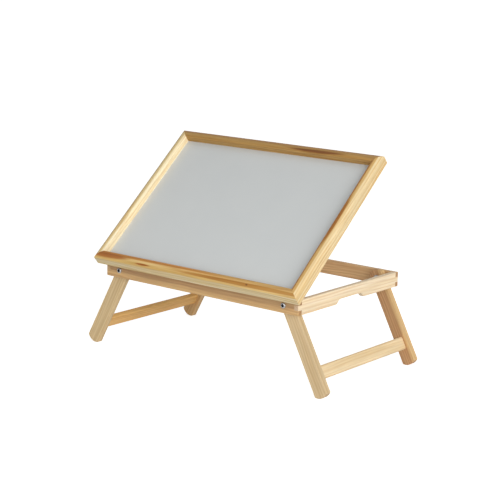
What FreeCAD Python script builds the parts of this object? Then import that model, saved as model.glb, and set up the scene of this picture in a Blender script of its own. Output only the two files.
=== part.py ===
import FreeCAD, Part
import math
import os

from FreeCAD import Vector

# A wooden bed tray table: a box-jointed base frame on two folding leg pairs, and a framed
# writing top that tilts on hinges at the front and is held up by a prop on a notched track.
#
# Everything is drawn in millimetres with the base frame's front face at y = 0 and its underside
# at z = 0. The top is drawn lying flat, then raised about its hinge. At the end one shift stands
# the whole table on z = 0 with its bounding box centred on x = 0 and y = 0.

# ---- base frame ----
base_width = 572.0
base_depth = 400.0
rail_height = 35.0
rail_thickness = 12.0
corner_fingers = 3
rail_edge_bevel = 0.8
rail_corner_round = 2.0

# ---- finger grips under the side rails ----
grip_length = 110.0
grip_height = 11.0
grip_slope = 12.0
grip_inner_round = 9.0
grip_mouth_round = 4.0
grip_mouth_run = 9.0

# ---- tilting top: a mitred moulding round a thin panel, larger than the base all round ----
side_overhang = 14.0
front_overhang = 17.3
back_overhang = 9.2
tilt_angle = 40.6
moulding_width = 22.3
moulding_foot = 34.0
moulding_side_height = 23.3
moulding_inner_height = 28.1
crown_peak_in = 9.0
crown_peak_height = 32.1
crown_round = 16.0
arris_round = 3.0
inner_crown_round = 4.3
moulding_bottom_round = 2.6
foot_edge_round = 0.8
quirk_height = 9.0
quirk_width = 1.2
quirk_depth = 0.6
lip_thickness = 6.4
panel_thickness = 5.0
groove_depth = 8.5
panel_play = 0.3
writing_face_clearance = 0.5

# ---- top hinges ----
hinge_axis_forward = 2.5
hinge_axis_above_rail = 1.3
hinge_axis_below_top = 2.5
hinge_x = 170.0
hinge_length = 40.0
knuckle_count = 3
knuckle_radius = 2.2
knuckle_gap = 0.3
hinge_pin_radius = 1.1
hinge_pin_clearance = 0.05
leaf_thickness = 1.2
leaf_clear_of_knuckle = 0.6
lower_leaf_reach = 14.0
upper_leaf_reach = 17.5
leaf_screw_spacing = 24.0
leaf_screw_count = 2
leaf_screw_length = 5.0

# ---- countersunk screws ----
screw_radius = 1.25
screw_head_radius = 2.5

# ---- folding legs ----
leg_width = 35.0
leg_thickness = 16.0
leg_splay = 27.9
leg_length = 219.0
leg_top_round = 21.2
leg_foot_round = 26.0
leg_corner_round = 3.0
leg_edge_bevel = 1.0
leg_pivot_height = 17.5
leg_stop_clearance = 0.3
stretcher_from_pivot = 150.0
stretcher_width = 31.0
stretcher_thickness = 15.0
stretcher_edge_round = 5.0
tenon_width = 21.0
tenon_thickness = 8.0
tenon_length = 9.0

# ---- leg pivots: a bolt through the rail into a sleeve nut in the leg ----
bolt_radius = 3.0
bolt_head_radius = 6.7
bolt_head_height = 3.2
bolt_head_bevel = 0.9
hex_across_flats = 5.0
hex_depth = 2.4
sleeve_radius = 4.5
sleeve_clearance = 0.06
washer_radius = 8.0
washer_thickness = 1.0
flange_radius = 7.5
flange_thickness = 2.0
flange_gap = 0.2
bolt_end_inset = 1.0

# ---- prop under the top ----
prop_pivot_from_hinge = 155.0
prop_pivot_depth = 7.2
prop_length = 152.0
prop_arm_x = 26.0
prop_arm_thickness = 10.0
prop_arm_width = 13.0
prop_arm_edge_bevel = 1.0
prop_pivot_radius = 2.5
prop_pivot_clearance = 0.05
prop_pivot_overhang = 1.0
foot_rod_radius = 4.0
foot_rod_seat_gap = 0.15
block_gap = 0.6
block_thickness = 12.0
block_length = 42.0
block_flange = 5.0
block_lug_length = 19.0
block_lug_below_pivot = 8.0
block_lug_round = 7.0
block_inner_round = 3.0
block_screw_inset = 5.5
block_screw_length = 10.0
batten_width = 60.0
batten_edge_bevel = 1.0

# ---- notched track between the front and back rails ----
track_width = 36.0
track_thickness = 12.0
track_edge_bevel = 1.0
track_tenon_width = 24.0
track_tenon_thickness = 5.0
track_tenon_length = 6.0
notch_width = 4.6
notch_depth = 3.2
notch_round = 2.0
notch_pitch = 18.0
notch_count = 5

# ---- bumper pads under the top ----
pad_radius = 5.0
pad_bevel = 0.8
pad_rest_gap = 0.2
back_pad_x = 200.0
side_pad_y = 235.0

# ---- places worked out from the sizes above ----
top_width = base_width + 2 * side_overhang
top_depth = base_depth + front_overhang + back_overhang
side_inner_x = base_width / 2 - rail_thickness
back_inner_y = base_depth - rail_thickness
finger_height = rail_height / corner_fingers
splay = math.radians(leg_splay)
tilt = math.radians(tilt_angle)

# The raised leg's outer edge stops against the side rail's lower inner edge.
leg_stop_reach = leg_width / 2 + leg_stop_clearance + leg_pivot_height * math.sin(splay)
leg_pivot_x = side_inner_x - leg_stop_reach / math.cos(splay)
leg_foot_drop = (leg_length - leg_foot_round) * math.cos(splay) + leg_foot_round
floor_z = leg_pivot_height - leg_foot_drop
front_leg_y = rail_thickness + washer_thickness
back_leg_y = base_depth - front_leg_y - leg_thickness

hinge_y = -hinge_axis_forward
hinge_z = rail_height + hinge_axis_above_rail
hinge_point = Vector(0, hinge_y, hinge_z)
flat_underside_z = hinge_z + hinge_axis_below_top
top_front_y = -front_overhang
top_back_y = top_front_y + top_depth
panel_bottom_z = flat_underside_z + lip_thickness

block_inner_x = prop_arm_x + prop_arm_thickness / 2 + block_gap
block_outer_x = block_inner_x + block_thickness
flat_pivot_y = hinge_y + prop_pivot_from_hinge
flat_pivot_z = flat_underside_z - prop_pivot_depth
foot_rod_z = track_thickness + foot_rod_seat_gap + foot_rod_radius


def turned(y, z, angle):
    """Where the flat top's point (y, z) goes when the top is raised by angle (radians)."""
    out = y - hinge_y
    up = z - hinge_z
    turned_y = hinge_y + out * math.cos(angle) - up * math.sin(angle)
    turned_z = hinge_z + out * math.sin(angle) + up * math.cos(angle)
    return turned_y, turned_z


prop_pivot_y, prop_pivot_z = turned(flat_pivot_y, flat_pivot_z, tilt)
prop_slope = math.asin((prop_pivot_z - foot_rod_z) / prop_length)
foot_rod_y = prop_pivot_y + prop_length * math.cos(prop_slope)
prop_swing = prop_slope + tilt

ALONG_X = Vector(1, 0, 0)
ALONG_Y = Vector(0, 1, 0)
ALONG_Z = Vector(0, 0, 1)


# ---- shape helpers ----
def box(low, high):
    """Box from its lowest corner to its highest."""
    size = Vector(high) - Vector(low)
    return Part.makeBox(size.x, size.y, size.z, Vector(low))


def soften(solid, radius, wanted):
    """Round the edges that wanted(edge) picks."""
    edges = [edge for edge in solid.Edges if wanted(edge)]
    return solid.makeFillet(radius, edges)


def bevel(solid, size, wanted):
    """Cut a small flat at the edges that wanted(edge) picks."""
    edges = [edge for edge in solid.Edges if wanted(edge)]
    return solid.makeChamfer(size, edges)


def spans(edge, axis):
    """True where a straight edge runs along the axis "x", "y" or "z"."""
    bounds = edge.BoundBox
    lengths = {"x": bounds.XLength, "y": bounds.YLength, "z": bounds.ZLength}
    along = lengths.pop(axis)
    return along > 0.01 and max(lengths.values()) < 0.01


def flat_in(edge, axis):
    """True where an edge has no length along the axis."""
    bounds = edge.BoundBox
    lengths = {"x": bounds.XLength, "y": bounds.YLength, "z": bounds.ZLength}
    return lengths[axis] < 0.01


def rounded_face(corners, to_space):
    """Face inside (u, v, radius) corners; to_space turns a flat point into a point in space."""
    points = [Vector(u, v, 0) for u, v, radius in corners]
    count = len(points)
    backs = [(points[index - 1] - points[index]) for index in range(count)]
    lengths = [back.Length for back in backs]
    half_turns = []
    reaches = []
    for index in range(count):
        ahead = backs[(index + 1) % count] * -1
        half_turns.append(backs[index].getAngle(ahead) / 2)
        reaches.append(corners[index][2] / math.tan(half_turns[index]))
    stops = []
    for index in range(count):
        after = (index + 1) % count
        reach = reaches[index]
        if reach > 0:
            share_back = 0.99 * lengths[index] / (reach + reaches[index - 1])
            share_ahead = 0.99 * lengths[after] / (reach + reaches[after])
            reach *= min(1.0, share_back, share_ahead)
        toward_back = Vector(backs[index]).normalize()
        toward_ahead = (Vector(backs[after]) * -1).normalize()
        radius = reach * math.tan(half_turns[index])
        dip = radius / math.sin(half_turns[index]) - radius
        middle = points[index] + (toward_back + toward_ahead).normalize() * dip if reach > 0 else None
        stops.append((points[index] + toward_back * reach, middle, points[index] + toward_ahead * reach))
    edges = []
    for index in range(count):
        start, middle, end = stops[index]
        if middle is not None:
            edges.append(Part.Arc(to_space(start), to_space(middle), to_space(end)).toShape())
        following = stops[(index + 1) % count][0]
        if (following - end).Length > 0.001:
            edges.append(Part.makeLine(to_space(end), to_space(following)))
    return Part.Face(Part.Wire(edges))


def bar_face(half_width, start_round, length, end_round, to_space):
    """Long bar with arc ends: u across, v along; the start arc is centred on v = 0."""
    start_v = -math.sqrt(start_round ** 2 - half_width ** 2)
    end_centre = length - end_round
    end_v = end_centre + math.sqrt(end_round ** 2 - half_width ** 2)
    start_left = to_space(Vector(-half_width, start_v, 0))
    start_right = to_space(Vector(half_width, start_v, 0))
    end_right = to_space(Vector(half_width, end_v, 0))
    end_left = to_space(Vector(-half_width, end_v, 0))
    edges = [
        Part.Arc(start_left, to_space(Vector(0, -start_round, 0)), start_right).toShape(),
        Part.makeLine(start_right, end_right),
        Part.Arc(end_right, to_space(Vector(0, length, 0)), end_left).toShape(),
        Part.makeLine(end_left, start_left),
    ]
    return Part.Face(Part.Wire(edges))


def mirrored_x(shape):
    """The same shape on the other side of x = 0."""
    return shape.mirror(Vector(0, 0, 0), ALONG_X)


def mirrored_y(shape):
    """The same shape at the other end of the base, front to back."""
    return shape.mirror(Vector(0, base_depth / 2, 0), ALONG_Y)


def cut_all(shape, tools):
    """Shape with every tool cut away."""
    for tool in tools:
        shape = shape.cut(tool)
    return shape


def countersunk_screw(head_centre, direction, length, head_depth):
    """Screw whose flat head lies at head_centre and whose shank points along direction."""
    neck = head_centre + direction * head_depth
    head = Part.makeCone(screw_head_radius, screw_radius, head_depth, head_centre, direction)
    shank = Part.makeCylinder(screw_radius, length - head_depth, neck, direction)
    return head.fuse(shank).removeSplitter()


# ---- base frame ----
def frame_ring():
    """All four rails as one ring, before the finger joints part them."""
    outer = box((-base_width / 2, 0, 0), (base_width / 2, base_depth, rail_height))
    outer = soften(outer, rail_corner_round, lambda edge: spans(edge, "z"))
    inner = box((-side_inner_x, rail_thickness, 0), (side_inner_x, back_inner_y, rail_height))
    return bevel(outer.cut(inner), rail_edge_bevel, lambda edge: flat_in(edge, "z"))


def side_rail_room():
    """Space of the right side rail: its length between the corners, and its fingers."""
    room = box((side_inner_x, rail_thickness, 0), (base_width / 2, back_inner_y, rail_height))
    for level in range(1, corner_fingers, 2):
        low = (side_inner_x, 0, level * finger_height)
        high = (base_width / 2, base_depth, (level + 1) * finger_height)
        room = room.fuse(box(low, high))
    return room.removeSplitter()


def front_rail_room():
    """Space of the front rail: full width, less the side rails' fingers."""
    room = box((-base_width / 2, 0, 0), (base_width / 2, rail_thickness, rail_height))
    return cut_all(room, [side_rail_room(), mirrored_x(side_rail_room())])


def grip_void():
    """Finger grip: a shallow opening with sloped ends, open at the rail's underside."""
    middle = base_depth / 2
    half = grip_length / 2
    left = [
        (middle - half - grip_mouth_run, -grip_height, 0),
        (middle - half - grip_mouth_run, 0, 0),
        (middle - half, 0, grip_mouth_round),
        (middle - half + grip_slope, grip_height, grip_inner_round),
    ]
    right = [(2 * middle - y, z, radius) for y, z, radius in reversed(left)]
    face = rounded_face(left + right, lambda point: Vector(side_inner_x, point.x, point.y))
    return face.extrude(ALONG_X * rail_thickness)


def track_tenon():
    """The notched track's front tenon, and so its mortise in the front rail."""
    half = track_tenon_width / 2
    low = (track_thickness - track_tenon_thickness) / 2
    return box((-half, rail_thickness - track_tenon_length, low), (half, rail_thickness, low + track_tenon_thickness))


def bolt_hole(x):
    """Hole for a leg pivot bolt through the front rail."""
    return Part.makeCylinder(bolt_radius, rail_thickness, Vector(x, 0, leg_pivot_height), ALONG_Y)


def right_side_rail():
    return frame_ring().common(side_rail_room()).cut(grip_void())


def plain_front_rail():
    """Front rail with its pivot holes and the track's mortise, but no hinge screw holes."""
    rail = frame_ring().common(front_rail_room())
    return cut_all(rail, [bolt_hole(leg_pivot_x), bolt_hole(-leg_pivot_x), track_tenon()])


def front_rail():
    return cut_all(plain_front_rail(), lower_leaf_screws())


def back_rail():
    return mirrored_y(plain_front_rail())


def notch(y):
    """One round-bottomed notch across the track's top, centred at y."""
    half = notch_width / 2
    top = track_thickness
    corners = [
        (y - half, top + notch_depth, 0),
        (y - half, top - notch_depth, notch_round),
        (y + half, top - notch_depth, notch_round),
        (y + half, top + notch_depth, 0),
    ]
    face = rounded_face(corners, lambda point: Vector(-track_width / 2, point.x, point.y))
    return face.extrude(ALONG_X * track_width)


def notched_track():
    bar = box((-track_width / 2, rail_thickness, 0), (track_width / 2, back_inner_y, track_thickness))
    bar = bevel(bar, track_edge_bevel, lambda edge: spans(edge, "y"))
    bar = cut_all(bar, [notch(foot_rod_y + step * notch_pitch) for step in range(notch_count)])
    return bar.fuse(track_tenon()).fuse(mirrored_y(track_tenon())).removeSplitter()


# ---- leg pivots ----
def pivot_bolt():
    """Bolt of the front right leg, its socket towards the front."""
    centre = Vector(leg_pivot_x, 0, leg_pivot_height)
    head_start = centre - ALONG_Y * bolt_head_height
    head = Part.makeCylinder(bolt_head_radius, bolt_head_height, head_start, ALONG_Y)
    head = bevel(head, bolt_head_bevel, lambda edge: edge.BoundBox.YMax < -bolt_head_height + 0.01)
    corner_radius = hex_across_flats / 2 / math.cos(math.pi / 6)
    corners = []
    for step in range(7):
        angle = step * math.pi / 3
        corners.append(head_start + Vector(math.cos(angle), 0, math.sin(angle)) * corner_radius)
    socket = Part.Face(Part.makePolygon(corners)).extrude(ALONG_Y * hex_depth)
    shank_length = front_leg_y + leg_thickness - bolt_end_inset
    shank = Part.makeCylinder(bolt_radius, shank_length, centre, ALONG_Y)
    return head.cut(socket).fuse(shank).removeSplitter()


def pivot_washer():
    centre = Vector(leg_pivot_x, rail_thickness, leg_pivot_height)
    disc = Part.makeCylinder(washer_radius, washer_thickness, centre, ALONG_Y)
    return disc.cut(Part.makeCylinder(bolt_radius, washer_thickness, centre, ALONG_Y))


def pivot_nut():
    """Sleeve nut: its barrel is the leg's bearing, its flange keeps the leg on."""
    centre = Vector(leg_pivot_x, front_leg_y, leg_pivot_height)
    barrel_length = leg_thickness + flange_gap
    barrel = Part.makeCylinder(sleeve_radius, barrel_length, centre, ALONG_Y)
    flange_start = centre + ALONG_Y * barrel_length
    flange = Part.makeCylinder(flange_radius, flange_thickness, flange_start, ALONG_Y)
    bore = Part.makeCylinder(bolt_radius, leg_thickness - bolt_end_inset, centre, ALONG_Y)
    return barrel.fuse(flange).removeSplitter().cut(bore)


def at_four_pivots(shape):
    """A front right piece and its three mirror images."""
    front = [shape, mirrored_x(shape)]
    return front + [mirrored_y(piece) for piece in front]


# ---- folding legs, drawn straight down from a pivot at x = 0, z = 0 ----
def stretcher_middle():
    return -(stretcher_from_pivot + stretcher_width / 2)


def hanging_tenon(leg_y, grows):
    """Stretcher tenon in a leg; grows is +1 where it enters the back leg and -1 the front."""
    middle = stretcher_middle()
    inner_y = leg_y if grows > 0 else leg_y + leg_thickness
    ends = sorted((inner_y, inner_y + grows * tenon_length))
    low = (-tenon_thickness / 2, ends[0], middle - tenon_width / 2)
    high = (tenon_thickness / 2, ends[1], middle + tenon_width / 2)
    return box(low, high)


def hanging_leg(leg_y, tenon):
    face = bar_face(
        leg_width / 2, leg_top_round, leg_length, leg_foot_round,
        lambda point: Vector(point.x, leg_y, -point.y))
    leg = face.extrude(ALONG_Y * leg_thickness)
    leg = soften(leg, leg_corner_round, lambda edge: spans(edge, "y"))
    leg = bevel(leg, leg_edge_bevel, lambda edge: flat_in(edge, "y"))
    bore = Part.makeCylinder(sleeve_radius + sleeve_clearance, leg_thickness, Vector(0, leg_y, 0), ALONG_Y)
    return leg.cut(bore).cut(tenon)


def hanging_stretcher():
    middle = stretcher_middle()
    start_y = front_leg_y + leg_thickness
    low = (-stretcher_thickness / 2, start_y, middle - stretcher_width / 2)
    high = (stretcher_thickness / 2, back_leg_y, middle + stretcher_width / 2)
    bar = soften(box(low, high), stretcher_edge_round, lambda edge: spans(edge, "y"))
    bar = bar.fuse(hanging_tenon(front_leg_y, -1)).fuse(hanging_tenon(back_leg_y, 1))
    return bar.removeSplitter()


def opened_right(shape):
    """A hanging leg piece, splayed outwards and moved to the right leg pivot."""
    shape = shape.copy()
    shape.rotate(Vector(0, 0, 0), ALONG_Y, -leg_splay)
    shape.translate(Vector(leg_pivot_x, 0, leg_pivot_height))
    return shape


# ---- tilting top, drawn flat ----
def moulding_corners():
    """Moulding section: u inwards from the outer edge, v up from the underside."""
    groove_bottom = moulding_width - groove_depth
    panel_top = lip_thickness + panel_thickness
    return [
        (0, 0, moulding_bottom_round),
        (moulding_foot, 0, foot_edge_round),
        (moulding_foot, lip_thickness, 0),
        (groove_bottom, lip_thickness, 0),
        (groove_bottom, panel_top, 0),
        (moulding_width, panel_top, 0),
        (moulding_width, moulding_inner_height, inner_crown_round),
        (crown_peak_in, crown_peak_height, crown_round),
        (0, moulding_side_height, arris_round),
        (0, quirk_height + quirk_width / 2, 0),
        (quirk_depth, quirk_height, 0),
        (0, quirk_height - quirk_width / 2, 0),
    ]


def mitred(length, to_space, along):
    """Moulding of one side: its section run along the side and cut to 45 degrees at both ends."""
    bar = rounded_face(moulding_corners(), lambda point: to_space(0, point.x, point.y)).extrude(along * length)
    plan = Part.makePolygon([
        to_space(0, 0, -1),
        to_space(length, 0, -1),
        to_space(length - moulding_foot, moulding_foot, -1),
        to_space(moulding_foot, moulding_foot, -1),
        to_space(0, 0, -1),
    ])
    room = Part.Face(plan).extrude(ALONG_Z * (crown_peak_height + 2))
    return bar.common(room)


def flat_front_moulding():
    return mitred(
        top_width,
        lambda run, inwards, up: Vector(run - top_width / 2, top_front_y + inwards, flat_underside_z + up),
        ALONG_X)


def flat_back_moulding():
    middle = Vector(0, top_front_y + top_depth / 2, 0)
    return flat_front_moulding().mirror(middle, ALONG_Y)


def flat_left_moulding():
    return mitred(
        top_depth,
        lambda run, inwards, up: Vector(inwards - top_width / 2, top_front_y + run, flat_underside_z + up),
        ALONG_Y)


def flat_board(inset):
    """Board of the panel's thickness whose edges lie inset from the top's outer edges."""
    low = (-top_width / 2 + inset, top_front_y + inset, panel_bottom_z)
    high = (top_width / 2 - inset, top_back_y - inset, panel_bottom_z + panel_thickness)
    return box(low, high)


def flat_panel():
    """Panel in its grooves; its writing face, inside the mouldings, is a face of its own."""
    whole = flat_board(moulding_width - groove_depth + panel_play)
    middle = flat_board(moulding_width + writing_face_clearance)
    return whole.cut(middle).fuse(middle)


def flat_batten():
    """Cross batten under the panel, from lip to lip, over the prop's pivot."""
    half_span = top_width / 2 - moulding_foot
    low = (-half_span, flat_pivot_y - batten_width / 2, flat_underside_z)
    high = (half_span, flat_pivot_y + batten_width / 2, panel_bottom_z)
    return bevel(
        box(low, high), batten_edge_bevel,
        lambda edge: spans(edge, "x") and edge.BoundBox.ZMax < flat_underside_z + 0.01)


def flat_block_screws():
    """Two screws up through the right block's flange into the batten."""
    screws = []
    for side in (-1, 1):
        y = flat_pivot_y + side * (block_length / 2 - block_screw_inset)
        head = Vector((block_inner_x + block_outer_x) / 2, y, flat_underside_z - block_flange)
        screws.append(countersunk_screw(head, ALONG_Z, block_screw_length, screw_head_radius / 2))
    return screws


def flat_right_block():
    """Pivot block: a screwed flange with a rounded lug round the pivot rod."""
    half = block_length / 2
    lug = block_lug_length / 2
    bottom = -prop_pivot_depth - block_lug_below_pivot
    corners = [
        (-half, 0, 0),
        (half, 0, 0),
        (half, -block_flange, 1.5),
        (lug, -block_flange, block_inner_round),
        (lug, bottom, block_lug_round),
        (-lug, bottom, block_lug_round),
        (-lug, -block_flange, block_inner_round),
        (-half, -block_flange, 1.5),
    ]
    face = rounded_face(
        corners,
        lambda point: Vector(block_inner_x, flat_pivot_y + point.x, flat_underside_z + point.y))
    block = face.extrude(ALONG_X * block_thickness)
    return cut_all(block, [flat_pivot_rod()] + flat_block_screws())


def flat_pivot_rod():
    half = block_outer_x + prop_pivot_overhang
    start = Vector(-half, flat_pivot_y, flat_pivot_z)
    return Part.makeCylinder(prop_pivot_radius, 2 * half, start, ALONG_X)


def flat_pad(x, y):
    """Bumper pad stuck under the top, short of the rail that it rests on when the top is down."""
    height = flat_underside_z - rail_height - pad_rest_gap
    pad = Part.makeCylinder(pad_radius, height, Vector(x, y, flat_underside_z - height), ALONG_Z)
    return bevel(pad, pad_bevel, lambda edge: edge.BoundBox.ZMax < flat_underside_z - height + 0.01)


def flat_pads():
    back_y = base_depth - rail_thickness / 2
    side_x = base_width / 2 - rail_thickness / 2
    places = [(-back_pad_x, back_y), (back_pad_x, back_y), (-side_x, side_pad_y), (side_x, side_pad_y)]
    return [flat_pad(x, y) for x, y in places]


def raised(shape):
    """A piece of the flat top, tilted about the hinge axis."""
    shape = shape.copy()
    shape.rotate(hinge_point, ALONG_X, tilt_angle)
    return shape


# ---- top hinges ----
def knuckle_spans():
    """Start and end of each knuckle along x, counted from the hinge's middle."""
    pitch = hinge_length / knuckle_count
    spans_along = []
    for index in range(knuckle_count):
        start = -hinge_length / 2 + index * pitch
        spans_along.append((start + knuckle_gap / 2, start + pitch - knuckle_gap / 2))
    return spans_along


def hinge_leaf(x, low_z, high_z, reach, owned, bore_radius):
    """Leaf plate from low_z to high_z with its own knuckles, those whose index is in owned."""
    plate_y = hinge_y + knuckle_radius + leaf_clear_of_knuckle
    half = hinge_length / 2
    leaf = box((x - half, plate_y, low_z), (x + half, hinge_y + reach, high_z))
    for index in owned:
        start, end = knuckle_spans()[index]
        tab = box((x + start, hinge_y, low_z), (x + end, plate_y, high_z))
        barrel = Part.makeCylinder(knuckle_radius, end - start, Vector(x + start, hinge_y, hinge_z), ALONG_X)
        leaf = leaf.fuse(tab).fuse(barrel)
    bore = Part.makeCylinder(bore_radius, hinge_length, Vector(x - half, hinge_y, hinge_z), ALONG_X)
    return leaf.removeSplitter().cut(bore)


def screw_rows():
    """x of every leaf screw of both hinges."""
    rows = []
    for hinge_middle in (-hinge_x, hinge_x):
        for index in range(leaf_screw_count):
            rows.append(hinge_middle + (index - (leaf_screw_count - 1) / 2) * leaf_screw_spacing)
    return rows


def lower_leaf_screws():
    y = rail_thickness / 2
    head_z = rail_height + leaf_thickness
    down = Vector(0, 0, -1)
    return [countersunk_screw(Vector(x, y, head_z), down, leaf_screw_length, leaf_thickness) for x in screw_rows()]


def flat_upper_leaf_screws():
    y = (hinge_y + upper_leaf_reach + knuckle_radius) / 2
    head_z = flat_underside_z - leaf_thickness
    return [countersunk_screw(Vector(x, y, head_z), ALONG_Z, leaf_screw_length, leaf_thickness) for x in screw_rows()]


def lower_leaves():
    owned = range(0, knuckle_count, 2)
    leaves = []
    for x in (-hinge_x, hinge_x):
        leaf = hinge_leaf(
            x, rail_height, rail_height + leaf_thickness, lower_leaf_reach, owned, hinge_pin_radius)
        leaves.append(cut_all(leaf, lower_leaf_screws()))
    return leaves


def flat_upper_leaves():
    owned = range(1, knuckle_count, 2)
    bore_radius = hinge_pin_radius + hinge_pin_clearance
    leaves = []
    for x in (-hinge_x, hinge_x):
        leaf = hinge_leaf(
            x, flat_underside_z - leaf_thickness, flat_underside_z, upper_leaf_reach, owned, bore_radius)
        leaves.append(cut_all(leaf, flat_upper_leaf_screws()))
    return leaves


def hinge_pins():
    pins = []
    for x in (-hinge_x, hinge_x):
        start = Vector(x - hinge_length / 2, hinge_y, hinge_z)
        pins.append(Part.makeCylinder(hinge_pin_radius, hinge_length, start, ALONG_X))
    return pins


# ---- prop, drawn level with its pivot at y = 0, z = 0 and its foot towards the back ----
def level_foot_rod():
    half = prop_arm_x + prop_arm_thickness / 2
    return Part.makeCylinder(foot_rod_radius, 2 * half, Vector(-half, prop_length, 0), ALONG_X)


def level_right_arm():
    end_round = prop_arm_width / 2
    start_x = prop_arm_x - prop_arm_thickness / 2
    face = bar_face(
        end_round, end_round, prop_length + end_round, end_round,
        lambda point: Vector(start_x, point.y, point.x))
    arm = face.extrude(ALONG_X * prop_arm_thickness)
    arm = bevel(arm, prop_arm_edge_bevel, lambda edge: flat_in(edge, "x"))
    bore_radius = prop_pivot_radius + prop_pivot_clearance
    bore = Part.makeCylinder(bore_radius, prop_arm_thickness, Vector(start_x, 0, 0), ALONG_X)
    return arm.cut(bore).cut(level_foot_rod())


def leaning(shape):
    """A level prop piece, leaned down to the track below the raised top."""
    shape = shape.copy()
    shape.rotate(Vector(0, 0, 0), ALONG_X, -math.degrees(prop_slope))
    shape.translate(Vector(0, prop_pivot_y, prop_pivot_z))
    return shape


# ---- all pieces by name ----
def build_nodes():
    nodes = {}
    nodes["front_rail"] = [front_rail()]
    nodes["back_rail"] = [back_rail()]
    nodes["right_side_rail"] = [right_side_rail()]
    nodes["left_side_rail"] = [mirrored_x(right_side_rail())]
    nodes["notched_track"] = [notched_track()]

    nodes["pivot_bolts"] = at_four_pivots(pivot_bolt())
    nodes["pivot_washers"] = at_four_pivots(pivot_washer())
    nodes["pivot_nuts"] = at_four_pivots(pivot_nut())

    front_leg = opened_right(hanging_leg(front_leg_y, hanging_tenon(front_leg_y, -1)))
    back_leg = opened_right(hanging_leg(back_leg_y, hanging_tenon(back_leg_y, 1)))
    stretcher = opened_right(hanging_stretcher())
    nodes["front_right_leg"] = [front_leg]
    nodes["back_right_leg"] = [back_leg]
    nodes["right_stretcher"] = [stretcher]
    nodes["front_left_leg"] = [mirrored_x(front_leg)]
    nodes["back_left_leg"] = [mirrored_x(back_leg)]
    nodes["left_stretcher"] = [mirrored_x(stretcher)]

    front_moulding = cut_all(flat_front_moulding(), flat_upper_leaf_screws())
    nodes["top_front_moulding"] = [raised(front_moulding)]
    nodes["top_back_moulding"] = [raised(flat_back_moulding())]
    nodes["top_left_moulding"] = [raised(flat_left_moulding())]
    nodes["top_right_moulding"] = [raised(mirrored_x(flat_left_moulding()))]
    nodes["writing_panel"] = [raised(flat_panel())]
    right_screws = flat_block_screws()
    block_screws = right_screws + [mirrored_x(screw) for screw in right_screws]
    nodes["prop_batten"] = [raised(cut_all(flat_batten(), block_screws))]
    blocks = [flat_right_block(), mirrored_x(flat_right_block())]
    nodes["prop_pivot_blocks"] = [raised(block) for block in blocks]
    nodes["block_screws"] = [raised(screw) for screw in block_screws]
    nodes["prop_pivot_rod"] = [raised(flat_pivot_rod())]
    nodes["bumper_pads"] = [raised(pad) for pad in flat_pads()]

    nodes["hinge_lower_leaves"] = lower_leaves()
    nodes["hinge_upper_leaves"] = [raised(leaf) for leaf in flat_upper_leaves()]
    nodes["hinge_pins"] = hinge_pins()
    nodes["lower_leaf_screws"] = lower_leaf_screws()
    nodes["upper_leaf_screws"] = [raised(screw) for screw in flat_upper_leaf_screws()]

    nodes["prop_right_arm"] = [leaning(level_right_arm())]
    nodes["prop_left_arm"] = [leaning(mirrored_x(level_right_arm()))]
    nodes["prop_foot_rod"] = [leaning(level_foot_rod())]
    return nodes


def main():
    os.makedirs("parts", exist_ok=True)
    nodes = build_nodes()
    everything = Part.makeCompound([solid for solids in nodes.values() for solid in solids])
    bounds = everything.optimalBoundingBox(False, False)
    shift = Vector(0, -(bounds.YMin + bounds.YMax) / 2, -floor_z)
    for name, solids in nodes.items():
        placed = []
        for solid in solids:
            solid.translate(shift)
            placed.append(solid)
        shape = placed[0] if len(placed) == 1 else Part.makeCompound(placed)
        shape.exportStep(f"parts/{name}.step")
    print(f"base frame's front bottom edge is at y {shift.y:.3f}, z {shift.z:.3f}")
    print(f"leg pivots at x {leg_pivot_x:.3f}, z {leg_pivot_height + shift.z:.3f}")
    print(f"hinge axis at y {hinge_y + shift.y:.3f}, z {hinge_z + shift.z:.3f}")
    print(f"prop pivot at y {prop_pivot_y + shift.y:.3f}, z {prop_pivot_z + shift.z:.3f}")
    print(f"prop swings {math.degrees(prop_swing):.4f} degrees while the top tilts {tilt_angle}")


main()
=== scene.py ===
import math

import bmesh
import bpy
from mathutils import Matrix, Vector


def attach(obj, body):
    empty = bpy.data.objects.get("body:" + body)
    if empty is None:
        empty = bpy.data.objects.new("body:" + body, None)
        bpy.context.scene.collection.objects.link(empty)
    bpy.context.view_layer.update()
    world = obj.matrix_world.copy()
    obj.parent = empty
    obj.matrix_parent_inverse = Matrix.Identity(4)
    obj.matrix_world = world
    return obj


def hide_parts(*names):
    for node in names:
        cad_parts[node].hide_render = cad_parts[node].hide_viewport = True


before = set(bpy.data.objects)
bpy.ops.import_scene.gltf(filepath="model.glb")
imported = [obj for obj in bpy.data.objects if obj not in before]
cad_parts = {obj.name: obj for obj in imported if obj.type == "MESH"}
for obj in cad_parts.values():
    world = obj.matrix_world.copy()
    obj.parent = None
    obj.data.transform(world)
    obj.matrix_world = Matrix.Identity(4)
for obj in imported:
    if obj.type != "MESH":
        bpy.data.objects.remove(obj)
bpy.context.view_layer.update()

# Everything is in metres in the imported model's frame, with the table at rest: legs unfolded and top raised.
MM = 0.001
X, Y, Z = Vector((1, 0, 0)), Vector((0, 1, 0)), Vector((0, 0, 1))
TOP_TILT = math.radians(40.6)
LEG_SPLAY = math.radians(27.9)
TOP_BACKWARDS = Vector((0, math.cos(TOP_TILT), math.sin(TOP_TILT)))
TOP_NORMAL = Vector((0, -math.sin(TOP_TILT), math.cos(TOP_TILT)))
RIGHT_LEG_DOWN = Vector((math.sin(LEG_SPLAY), 0, -math.cos(LEG_SPLAY)))
LEFT_LEG_DOWN = Vector((-math.sin(LEG_SPLAY), 0, -math.cos(LEG_SPLAY)))

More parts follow.
